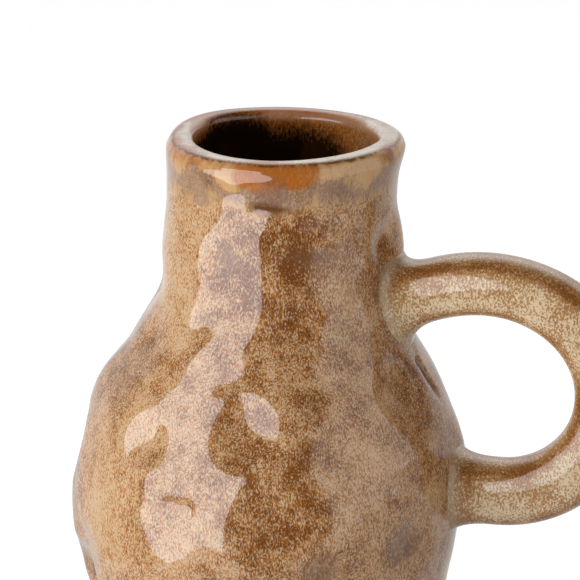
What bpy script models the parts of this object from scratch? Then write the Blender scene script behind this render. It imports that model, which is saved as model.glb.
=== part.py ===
"""Hand-built stoneware jug with a ring handle.

The jug is modelled as the pieces of clay that it is built from: a base slab, six wall courses
bedded on each other with slip, a looped handle, and the coil of clay that lutes each end of the
handle to the wall. Metres, +Z up. The origin is the centre of the standing face, and the handle
points along +X.
"""

import math
from collections import namedtuple

import bmesh
import bpy
from mathutils import Vector

MM = 0.001

# Joints between the pieces of clay
SLIP_GAP = 0.35 * MM  # layer of slip between two pieces that are bedded on each other
BED_RISE = 3.0 * MM  # a bed joint climbs this much from the outside of the wall to the inside
SEAM_DEPTH = 0.2 * MM  # crease left on the outside where two courses meet
SEAM_SPREAD = 7.0 * MM  # height over which the crease fades, up and down

# Base slab
BASE_THICKNESS = 8.0 * MM
BASE_RADIUS = 48.0 * MM
BASE_EDGE_ROUND = 3.0 * MM
BASE_TOP_RADIUS = 51.5 * MM  # where the foot course is bedded

# Wall courses, from the slab up: height, and outer radius half-way up and at the top joint
WALL = 7.5 * MM
FOOT_HEIGHT = 38.0 * MM
FOOT_MID_RADIUS = 57.0 * MM
FOOT_TOP_RADIUS = 61.4 * MM
BELLY_HEIGHT = 46.0 * MM
BELLY_MID_RADIUS = 64.6 * MM
BELLY_TOP_RADIUS = 62.5 * MM
SHOULDER_HEIGHT = 33.0 * MM
SHOULDER_MID_RADIUS = 57.0 * MM
SHOULDER_TOP_RADIUS = 47.0 * MM
LOWER_NECK_HEIGHT = 35.0 * MM
LOWER_NECK_MID_RADIUS = 39.4 * MM
LOWER_NECK_TOP_RADIUS = 38.0 * MM
UPPER_NECK_HEIGHT = 23.0 * MM
UPPER_NECK_MID_RADIUS = 37.2 * MM
UPPER_NECK_TOP_RADIUS = 38.0 * MM
RIM_HEIGHT = 11.0 * MM
RIM_MID_RADIUS = 38.4 * MM
RIM_TOP_RADIUS = 38.0 * MM
LIP_SWELL = 1.1 * MM  # how much thicker than the wall the lip is
LIP_OUTER_ROUND = 3.8 * MM
LIP_INNER_ROUND = 3.0 * MM
LIP_WAVE = 0.5 * MM  # how far the hand-made lip rises and dips
LIP_WAVE_COUNT = 2
LIP_WAVE_START = 2.1  # in radians

# The neck leans towards the handle
LEAN = 6.8 * MM
LEAN_POWER = 1.15

# Handle: a loop in the XZ plane, with its ends on the lower neck and the belly
HANDLE_REACH = 113.5 * MM  # from the jug's axis to the outermost point of the centre line
LOOP_STRETCH = 1.15  # 1 is a round upper half of the loop, more starts to bend nearer the jug
HANDLE_WIDTH = 18.5 * MM
HANDLE_UPPER_THICKNESS = 19.8 * MM
HANDLE_BEND_THICKNESS = 22.0 * MM
HANDLE_LOWER_THICKNESS = 21.8 * MM
HANDLE_SQUARENESS = 2.6  # 2 is an oval section, more is squarer
UPPER_ROOT_HEIGHT = 14.5 * MM  # centre of the upper end above the lower neck's bottom joint
UPPER_ARM_RISE = 8.4 * MM  # the upper arm climbs this much from its end to the top of the loop
UPPER_ARM_SPRING = 0.55  # share of that climb that the arm aims at as it leaves the wall
LOWER_ROOT_HEIGHT = 31.3 * MM  # centre of the lower end above the belly's bottom joint

# Luting coils round the ends of the handle
LUTING_REACH = 11.0 * MM  # how far a coil runs out along the handle
LUTING_LIP = 1.2 * MM  # its thickness where it ends on the handle
UPPER_LUTING_SPREAD = 4.4 * MM  # its thickness against the wall
LOWER_LUTING_SPREAD = 3.4 * MM

# Thumb presses one by one, where a negative depth is a swelling, then rows of presses
INNER_SHARE = 0.6  # how much of a press shows on the inside of the wall
BACK_START = 12.0  # the rows fill the back from this angle, anticlockwise from the handle
BACK_END = 190.0

Press = namedtuple("Press", "course angle place radius depth")
Row = namedtuple("Row", "course place stagger count radius depth start end")

PRESSES = (
    Press("rim", -95, 0.50, 9 * MM, 0.3 * MM),
    Press("rim", -47, 0.05, 11 * MM, 0.4 * MM),
    Press("rim", 2, 0.00, 14 * MM, 0.8 * MM),
    Press("rim", 6, 0.65, 14 * MM, -0.6 * MM),
    Press("rim", 150, 0.60, 24 * MM, -1.2 * MM),
    Press("upper_neck", -78, 0.55, 16 * MM, 1.3 * MM),
    Press("upper_neck", -106, 0.50, 15 * MM, 0.4 * MM),
    Press("upper_neck", -92, 0.87, 11 * MM, 0.9 * MM),
    Press("upper_neck", -112, 0.87, 11 * MM, 0.8 * MM),
    Press("upper_neck", -52, 0.60, 14 * MM, 0.8 * MM),
    Press("upper_neck", -62, 0.18, 12 * MM, 1.6 * MM),
    Press("upper_neck", -45, 0.10, 11 * MM, 1.0 * MM),
    Press("upper_neck", -104, 0.08, 12 * MM, 1.0 * MM),
    Press("upper_neck", -126, 0.60, 14 * MM, 1.2 * MM),
    Press("upper_neck", -14, 0.02, 12 * MM, 2.0 * MM),
    Press("lower_neck", -66, 0.42, 14 * MM, 1.4 * MM),
    Press("lower_neck", -44, 0.37, 10 * MM, 0.8 * MM),
    Press("lower_neck", -142, 0.15, 14 * MM, 1.8 * MM),
    Press("lower_neck", -167, 0.50, 18 * MM, 1.5 * MM),
    Press("lower_neck", 8, 0.88, 18 * MM, -2.6 * MM),
    Press("shoulder", -86, 0.58, 15 * MM, 4.0 * MM),
    Press("shoulder", -110, 0.46, 22 * MM, 2.6 * MM),
    Press("shoulder", -121, 0.37, 10 * MM, 1.9 * MM),
    Press("shoulder", -167, 0.66, 14 * MM, -1.4 * MM),
    Press("shoulder", -24, 0.75, 15 * MM, 2.2 * MM),
    Press("shoulder", 10, 0.60, 20 * MM, 0.9 * MM),
    Press("shoulder", -52, 0.30, 15 * MM, 1.6 * MM),
    Press("belly", -74, 0.80, 18 * MM, 2.4 * MM),
    Press("belly", -104, 0.86, 11 * MM, 0.6 * MM),
    Press("belly", -31, 0.48, 14 * MM, 2.6 * MM),
    Press("belly", -88, 0.25, 13 * MM, 1.4 * MM),
    Press("belly", -146, 0.28, 15 * MM, 1.8 * MM),
    Press("belly", -60, 0.40, 14 * MM, 1.8 * MM),
    Press("belly", -168, 0.95, 15 * MM, 4.2 * MM),
    Press("belly", -154, 0.00, 16 * MM, 5.4 * MM),
    Press("belly", 8, 0.90, 17 * MM, -1.8 * MM),
)
ROWS = (
    Row("upper_neck", 0.40, 0.10, 4, 12 * MM, 1.6 * MM, BACK_START, BACK_END),
    Row("lower_neck", 0.45, 0.12, 4, 13 * MM, 1.6 * MM, BACK_START, BACK_END),
    Row("shoulder", 0.50, 0.15, 5, 14 * MM, 2.0 * MM, BACK_START, BACK_END),
    Row("belly", 0.70, 0.12, 5, 15 * MM, 2.2 * MM, BACK_START, BACK_END),
    Row("belly", 0.25, 0.08, 4, 13 * MM, 1.6 * MM, BACK_START + 20, BACK_END - 10),
    Row("foot", 0.50, 0.12, 10, 14 * MM, 1.8 * MM, 0.0, 360.0),
)

# Fineness of the mesh
SEGMENTS = 56
RING_SPACING = 8.0 * MM
CORNER_STEPS = 4
HANDLE_SIDES = 16
LOOP_STEPS = 20
ARM_STEPS = 7
LUTING_STEPS = 5
MERGE_DISTANCE = 0.01 * MM
SHARP_ANGLE = 40.0  # degrees, above which an edge is shaded as a corner

# Finishes: colour and roughness
BROWN_GLAZE = ((0.33, 0.17, 0.07, 1.0), 0.15)
CREAM_GLAZE = ((0.45, 0.30, 0.17, 1.0), 0.15)
BARE_CLAY = ((0.42, 0.27, 0.16, 1.0), 0.75)

Course = namedtuple("Course", "bottom top")


def stack_courses():
    """Give each wall course the heights of its bottom and top joint on the outside."""
    heights = {
        "foot": FOOT_HEIGHT,
        "belly": BELLY_HEIGHT,
        "shoulder": SHOULDER_HEIGHT,
        "lower_neck": LOWER_NECK_HEIGHT,
        "upper_neck": UPPER_NECK_HEIGHT,
        "rim": RIM_HEIGHT,
    }
    courses = {}
    level = BASE_THICKNESS - BED_RISE
    for name, height in heights.items():
        courses[name] = Course(level, level + height)
        level += height
    return courses


COURSES = stack_courses()
TOP = COURSES["rim"].top
BELLY_LEVEL = (COURSES["belly"].bottom + COURSES["belly"].top) / 2


def outline_knots():
    """Points of the outer outline, as height and radius."""
    radii = {
        "foot": (FOOT_MID_RADIUS, FOOT_TOP_RADIUS),
        "belly": (BELLY_MID_RADIUS, BELLY_TOP_RADIUS),
        "shoulder": (SHOULDER_MID_RADIUS, SHOULDER_TOP_RADIUS),
        "lower_neck": (LOWER_NECK_MID_RADIUS, LOWER_NECK_TOP_RADIUS),
        "upper_neck": (UPPER_NECK_MID_RADIUS, UPPER_NECK_TOP_RADIUS),
        "rim": (RIM_MID_RADIUS, RIM_TOP_RADIUS),
    }
    knots = [(0.0, BASE_RADIUS), (COURSES["foot"].bottom, BASE_TOP_RADIUS)]
    for name, (middle, top) in radii.items():
        course = COURSES[name]
        knots.append(((course.bottom + course.top) / 2, middle))
        knots.append((course.top, top))
    return knots


KNOTS = outline_knots()


def smooth_outline(height):
    """Outer radius of the plain turned form, on a smooth curve through the knots."""
    last = len(KNOTS) - 1
    slopes = []
    for i in range(last + 1):
        below = KNOTS[max(i - 1, 0)]
        above = KNOTS[min(i + 1, last)]
        slopes.append((above[1] - below[1]) / (above[0] - below[0]))
    i = 0
    while i < last - 1 and height > KNOTS[i + 1][0]:
        i += 1
    (z0, r0), (z1, r1) = KNOTS[i], KNOTS[i + 1]
    span = z1 - z0
    t = (height - z0) / span
    rise = t * t * (3 - 2 * t)
    start = t * (1 - t) ** 2 * slopes[i] * span
    end = t * t * (t - 1) * slopes[i + 1] * span
    return r0 * (1 - rise) + r1 * rise + start + end


def seam_crease(height):
    """Depth of the creases where the courses meet."""
    depth = 0.0
    for course in list(COURSES.values())[:-1]:
        away = abs(height - course.top) / SEAM_SPREAD
        if away < 1:
            depth += SEAM_DEPTH * (1 - away * away) ** 2
    return depth


def outline(height):
    """Outer radius at a height, without thumb presses."""
    return smooth_outline(height) - seam_crease(height)


def all_presses():
    """The placed presses and the rows, as angle, height, radius on the wall, spread and depth."""
    presses = list(PRESSES)
    for row in ROWS:
        pitch = (row.end - row.start) / row.count
        for k in range(row.count):
            angle = row.start + (k + 0.5) * pitch
            place = row.place + (row.stagger if k % 2 else -row.stagger)
            presses.append(Press(row.course, angle, place, row.radius, row.depth))
    placed = []
    for press in presses:
        course = COURSES[press.course]
        height = course.bottom + press.place * (course.top - course.bottom)
        angle = math.radians(press.angle)
        placed.append((angle, height, smooth_outline(height), press.radius, press.depth))
    return placed


PLACED_PRESSES = all_presses()


def press_depth(angle, height):
    """How far the thumb presses push the outside of the wall in at one place."""
    here = smooth_outline(height)
    depth = 0.0
    for centre, level, radius, spread, deepest in PLACED_PRESSES:
        turn = math.remainder(angle - centre, 2 * math.pi)
        rise = math.hypot(height - level, here - radius)
        away = math.hypot(turn * radius, rise) / spread
        if away < 1:
            depth += deepest * (1 - away * away) ** 2
    return depth


def lean(height):
    """How far the jug's axis has moved towards the handle at a height."""
    share = (height - BELLY_LEVEL) / (TOP - BELLY_LEVEL)
    return LEAN * max(share, 0.0) ** LEAN_POWER


def wall_face(height):
    """X of the outside of the wall under the handle."""
    return outline(height) - press_depth(0.0, height) + lean(height)


def steps_between(start, end, spacing):
    """Values from start to end, both included, no further apart than the spacing."""
    count = max(1, math.ceil(abs(end - start) / spacing))
    return [start + (end - start) * k / count for k in range(count + 1)]


def turn_profile(points, closed):
    """Spin an outline of (radius, height) points about Z."""
    bm = bmesh.new()
    verts = [bm.verts.new((radius, 0, height)) for radius, height in points]
    edges = [bm.edges.new(pair) for pair in zip(verts, verts[1:])]
    if closed:
        edges.append(bm.edges.new((verts[-1], verts[0])))
    bmesh.ops.spin(
        bm,
        geom=verts + edges,
        cent=(0, 0, 0),
        axis=(0, 0, 1),
        angle=2 * math.pi,
        steps=SEGMENTS,
        use_merge=True,
    )
    bmesh.ops.remove_doubles(bm, verts=bm.verts, dist=MERGE_DISTANCE)
    bmesh.ops.recalc_face_normals(bm, faces=bm.faces)
    return bm


def shape_by_hand(bm):
    """Press thumbs into a turned form, more on the outside of the wall than inside, and lean it.

    Every turned form is divided into triangles alike, so that pieces bedded on each other keep their gap.
    """
    for vert in bm.verts:
        x, y, height = vert.co
        radius = math.hypot(x, y)
        if radius > 0:
            angle = math.atan2(y, x)
            inwards = min(max((outline(height) - radius) / WALL, 0.0), 1.0)
            pressed = press_depth(angle, height) * (1 - (1 - INNER_SHARE) * inwards)
            vert.co.x -= pressed * x / radius
            vert.co.y -= pressed * y / radius
        vert.co.x += lean(height)
    bmesh.ops.triangulate(bm, faces=bm.faces, quad_method="FIXED")


def finish_mesh(name, bm, finish):
    """Make an object of a mesh, shaded smooth, with a material of its own."""
    mesh = bpy.data.meshes.new(name)
    bm.to_mesh(mesh)
    bm.free()
    mesh.shade_smooth()
    mesh.set_sharp_from_angle(angle=math.radians(SHARP_ANGLE))
    part = bpy.data.objects.new(name, mesh)
    bpy.context.scene.collection.objects.link(part)
    colour, roughness = finish
    material = bpy.data.materials.new(name)
    material.use_nodes = True
    shader = material.node_tree.nodes["Principled BSDF"]
    shader.inputs["Base Color"].default_value = colour
    shader.inputs["Roughness"].default_value = roughness
    shader.inputs["Metallic"].default_value = 0.0
    mesh.materials.append(material)
    return part


def corner(radius, height, round_by, start_angle):
    """Points of a quarter round, turning to the left from the start angle, in degrees."""
    points = []
    for k in range(CORNER_STEPS + 1):
        angle = math.radians(start_angle + 90 * k / CORNER_STEPS)
        points.append((radius + round_by * math.cos(angle), height + round_by * math.sin(angle)))
    return points


def outer_side(course):
    """Heights of the rings on the outside of a course, from its bottom bed to its top bed."""
    return steps_between(course.bottom + SLIP_GAP, course.top, RING_SPACING)


def build_base_slab():
    """Flat disc with a rounded lower edge; its rim slopes up inwards to seat the foot course."""
    joint = COURSES["foot"].bottom
    points = [(0, 0)]
    points += corner(BASE_RADIUS - BASE_EDGE_ROUND, BASE_EDGE_ROUND, BASE_EDGE_ROUND, -90)
    points.append((outline(joint), joint))
    points.append((outline(BASE_THICKNESS) - WALL, BASE_THICKNESS))
    points.append((0, BASE_THICKNESS))
    bm = turn_profile(points, closed=False)
    shape_by_hand(bm)
    return finish_mesh("base_slab", bm, BARE_CLAY)


def build_course(name, key):
    """Ring of wall between two sloping beds."""
    course = COURSES[key]
    points = [(outline(height), height) for height in outer_side(course)]
    inner_top = course.top + BED_RISE
    inner_bottom = course.bottom + SLIP_GAP + BED_RISE
    inner_side = steps_between(inner_top, inner_bottom, RING_SPACING)
    points += [(outline(height) - WALL, height) for height in inner_side]
    bm = turn_profile(points, closed=True)
    shape_by_hand(bm)
    return finish_mesh(name, bm, BROWN_GLAZE)


def build_rim_coil():
    """Top coil with a rounded lip that rises and dips a little."""
    course = COURSES["rim"]
    top_outer = outline(course.top)
    lip_wall = WALL + LIP_SWELL
    outer_round = min(LIP_OUTER_ROUND, lip_wall / 2)
    inner_round = min(LIP_INNER_ROUND, lip_wall / 2, RIM_HEIGHT - BED_RISE - 2 * SLIP_GAP)
    side = steps_between(course.bottom + SLIP_GAP, course.top - outer_round, RING_SPACING / 2)
    points = [(outline(height), height) for height in side]
    points += corner(top_outer - outer_round, course.top - outer_round, outer_round, 0)[1:]
    points += corner(top_outer - lip_wall + inner_round, course.top - inner_round, inner_round, 90)
    inner_bottom = course.bottom + SLIP_GAP + BED_RISE
    points.append((outline(inner_bottom) - WALL, inner_bottom))
    bm = turn_profile(points, closed=True)
    shape_by_hand(bm)
    for vert in bm.verts:
        angle = math.atan2(vert.co.y, vert.co.x)
        share = (vert.co.z - course.bottom) / RIM_HEIGHT
        wave = math.sin(LIP_WAVE_COUNT * angle + LIP_WAVE_START)
        vert.co.z += LIP_WAVE * max(share, 0.0) ** 2 * wave
    return finish_mesh("rim_coil", bm, BROWN_GLAZE)


def build_wall_cutter():
    """The jug's outer form, filled, and larger all round by a layer of slip."""
    heights = [COURSES["foot"].bottom]
    for course in list(COURSES.values())[:-1]:
        heights += outer_side(course)
    points = [(0, heights[0])]
    points += [(outline(height) + SLIP_GAP, height) for height in heights]
    points.append((0, heights[-1]))
    bm = turn_profile(points, closed=False)
    shape_by_hand(bm)
    return bm


Station = namedtuple("Station", "centre along thickness width")


def loop_levels():
    """Heights of the handle's centre line: upper end, top of the loop and lower arm."""
    upper_root = COURSES["lower_neck"].bottom + UPPER_ROOT_HEIGHT
    lower_arm = COURSES["belly"].bottom + LOWER_ROOT_HEIGHT
    return upper_root, upper_root + UPPER_ARM_RISE, lower_arm


def upper_arm_point(t, start, end):
    """Point of the upper arm: it leaves the wall rising and levels out at the top of the loop."""
    run = end.x - start.x
    first = start + Vector((run / 3, 0, (end.z - start.z) * UPPER_ARM_SPRING))
    second = end - Vector((run / 3, 0, 0))
    s = 1 - t
    return start * s**3 + first * (3 * s * s * t) + second * (3 * s * t * t) + end * t**3


def handle_stations():
    """Centre line and section of the handle, from inside the upper wall to inside the lower wall."""
    upper_root, crest, lower_arm = loop_levels()
    loop_rise = (crest - lower_arm) / 2
    outermost = Vector((HANDLE_REACH, 0, lower_arm + loop_rise))
    start = Vector((wall_face(upper_root) - WALL / 2, 0, upper_root))
    end = Vector((HANDLE_REACH - loop_rise * LOOP_STRETCH, 0, crest))
    centres = [upper_arm_point(k / ARM_STEPS, start, end) for k in range(ARM_STEPS)]
    sizes = [HANDLE_UPPER_THICKNESS] * ARM_STEPS
    for k in range(LOOP_STEPS + 1):
        angle = math.pi * (0.5 - k / LOOP_STEPS)
        swing = loop_rise * (LOOP_STRETCH if angle > 0 else 1.0)
        centres.append(outermost + Vector((swing * (math.cos(angle) - 1), 0, loop_rise * math.sin(angle))))
        arm = HANDLE_UPPER_THICKNESS if angle > 0 else HANDLE_LOWER_THICKNESS
        sizes.append(arm + (HANDLE_BEND_THICKNESS - arm) * math.cos(angle) ** 2)
    for x in steps_between(HANDLE_REACH - loop_rise, wall_face(lower_arm) - WALL / 2, RING_SPACING)[1:]:
        centres.append(Vector((x, 0, lower_arm)))
        sizes.append(HANDLE_LOWER_THICKNESS)
    stations = []
    for i, centre in enumerate(centres):
        along = centres[min(i + 1, len(centres) - 1)] - centres[max(i - 1, 0)]
        stations.append(Station(centre, along.normalized(), sizes[i], HANDLE_WIDTH))
    return stations


def sweep(stations, grow):
    """Closed solid through sections set square to a path in the XZ plane, grown all round."""
    bm = bmesh.new()
    across = Vector((0, 1, 0))
    power = 2 / HANDLE_SQUARENESS
    rings = []
    for station in stations:
        upwards = across.cross(station.along)
        ring = []
        for k in range(HANDLE_SIDES):
            angle = 2 * math.pi * (k + 0.5) / HANDLE_SIDES
            c, s = math.cos(angle), math.sin(angle)
            lift = (station.thickness / 2 + grow) * math.copysign(abs(c) ** power, c)
            side = (station.width / 2 + grow) * math.copysign(abs(s) ** power, s)
            ring.append(bm.verts.new(station.centre + upwards * lift + across * side))
        rings.append(ring)
    for near, far in zip(rings, rings[1:]):
        for k in range(HANDLE_SIDES):
            following = (k + 1) % HANDLE_SIDES
            bm.faces.new((near[k], near[following], far[following], far[k]))
    bm.faces.new(rings[0])
    bm.faces.new(rings[-1])
    bmesh.ops.recalc_face_normals(bm, faces=bm.faces)
    return bm


def luting_stations(root, along, thickness, spread):
    """Collar round one end of the handle, thickest against the wall."""
    stations = []
    for t in steps_between(-WALL, LUTING_REACH, (WALL + LUTING_REACH) / LUTING_STEPS):
        fade = (1 - max(t, 0.0) / LUTING_REACH) ** 2
        extra = 2 * (LUTING_LIP + (spread - LUTING_LIP) * fade)
        stations.append(Station(root + along * t, along, thickness + extra, HANDLE_WIDTH + extra))
    return stations


def make_cutter(name, bm):
    """Keep a mesh as a hidden guide for cutting."""
    mesh = bpy.data.meshes.new(name)
    bm.to_mesh(mesh)
    bm.free()
    cutter = bpy.data.objects.new(name, mesh)
    cutter.hide_render = True
    cutter.display_type = "WIRE"
    bpy.context.scene.collection.objects.link(cutter)
    return cutter


def cut(part, cutter):
    """Cut one object by another."""
    modifier = part.modifiers.new(cutter.name, "BOOLEAN")
    modifier.operation = "DIFFERENCE"
    modifier.solver = "EXACT"
    modifier.object = cutter


def build_handle():
    """Handle and the two coils that lute its ends, all cut to the wall that they sit on."""
    wall_cutter = make_cutter("wall_cutter", build_wall_cutter())
    stations = handle_stations()
    handle = finish_mesh("handle", sweep(stations, 0.0), CREAM_GLAZE)
    cut(handle, wall_cutter)
    handle_cutter = make_cutter("handle_cutter", sweep(stations, SLIP_GAP))
    upper_root, _, lower_arm = loop_levels()
    upper = Vector((wall_face(upper_root), 0, upper_root))
    lower = Vector((wall_face(lower_arm), 0, lower_arm))
    collars = (
        ("upper_luting_coil", upper, stations[1].along, HANDLE_UPPER_THICKNESS, UPPER_LUTING_SPREAD),
        ("lower_luting_coil", lower, -stations[-2].along, HANDLE_LOWER_THICKNESS, LOWER_LUTING_SPREAD),
    )
    for name, root, along, thickness, spread in collars:
        collar = finish_mesh(name, sweep(luting_stations(root, along, thickness, spread), 0.0), CREAM_GLAZE)
        cut(collar, handle_cutter)
        cut(collar, wall_cutter)


def build_jug():
    """Model every piece of the jug."""
    for old in list(bpy.data.objects):
        bpy.data.objects.remove(old)
    build_base_slab()
    build_course("foot_course", "foot")
    build_course("belly_course", "belly")
    build_course("shoulder_course", "shoulder")
    build_course("lower_neck_course", "lower_neck")
    build_course("upper_neck_course", "upper_neck")
    build_rim_coil()
    build_handle()


build_jug()
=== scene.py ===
"""Hand-built stoneware jug with a ring handle, dressed in its mottled glaze and set in a white studio.

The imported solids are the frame. The glazed wall, the handle and the bare clay foot are modelled
again here with the same sizes and finer surfaces. Metres, +Z up, with the handle along +X.
"""

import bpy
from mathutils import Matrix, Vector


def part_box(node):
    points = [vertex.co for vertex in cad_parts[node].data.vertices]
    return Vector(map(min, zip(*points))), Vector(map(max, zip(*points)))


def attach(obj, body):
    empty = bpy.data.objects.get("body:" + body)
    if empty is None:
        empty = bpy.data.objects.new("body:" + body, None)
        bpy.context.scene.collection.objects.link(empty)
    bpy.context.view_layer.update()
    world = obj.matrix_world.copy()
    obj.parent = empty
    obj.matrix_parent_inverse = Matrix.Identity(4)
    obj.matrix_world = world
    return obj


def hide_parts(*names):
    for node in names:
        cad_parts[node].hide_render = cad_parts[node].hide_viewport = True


bl_info = {
    "name": "Stoneware Jug",
    "version": (1, 0, 0),
    "blender": (4, 5, 0),
    "location": "3D View > Sidebar > Jug",
    "description": "Hand-built stoneware jug with a mottled glaze, on a white studio floor",
    "category": "Add Mesh",
}

import math
from collections import namedtuple
from functools import lru_cache

import bmesh
import bpy
from bpy.props import FloatProperty, FloatVectorProperty, IntProperty, PointerProperty
from bpy.types import Operator, Panel, PropertyGroup
from mathutils import Vector, noise

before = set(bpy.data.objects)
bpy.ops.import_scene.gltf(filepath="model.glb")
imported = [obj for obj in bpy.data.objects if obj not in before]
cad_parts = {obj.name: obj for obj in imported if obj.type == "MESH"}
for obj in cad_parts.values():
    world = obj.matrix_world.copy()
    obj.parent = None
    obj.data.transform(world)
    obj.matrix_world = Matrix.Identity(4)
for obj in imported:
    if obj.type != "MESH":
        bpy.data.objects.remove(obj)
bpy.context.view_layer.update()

MM = 0.001
BODY = "root"
SLIP_GAP = 0.35 * MM
WALL_NODES = (
    "foot_course",
    "belly_course",
    "shoulder_course",
    "lower_neck_course",
    "upper_neck_course",
    "rim_coil",
)
HANDLE_NODES = ("handle", "upper_luting_coil", "lower_luting_coil")

# Outer radius of the slab at its foot and its top, and of each course half-way up and at its top joint
BASE_RADIUS = 48.0 * MM
BASE_TOP_RADIUS = 51.5 * MM
COURSE_RADII = (
    (57.0 * MM, 61.4 * MM),
    (64.6 * MM, 62.5 * MM),
    (57.0 * MM, 47.0 * MM),
    (39.4 * MM, 38.0 * MM),
    (37.2 * MM, 38.0 * MM),
    (38.4 * MM, 38.0 * MM),
)
RIM_HEIGHT = 11.0 * MM

# Creases between the courses, and the lean of the neck
SEAM_DEPTH = 0.2 * MM
SEAM_SPREAD = 7.0 * MM
LEAN_POWER = 1.15

# Thumb presses one by one, then in rows: angles in degrees, places as shares of a course's height
# A depth below zero is a swelling. The stain is gathered glaze, and from about 1 up it also paints the shade
# of a dark crease.
INNER_SHARE = 0.6  # of a press's depth that shows inside the jug
BACK_START = 12.0
BACK_END = 190.0

Press = namedtuple("Press", "course angle place radius depth stain")
PlacedPress = namedtuple("PlacedPress", "angle height wall_radius press")
Row = namedtuple("Row", "course place stagger count radius depth stain start end")
FOOT, BELLY, SHOULDER, LOWER_NECK, UPPER_NECK, RIM = range(6)

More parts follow.
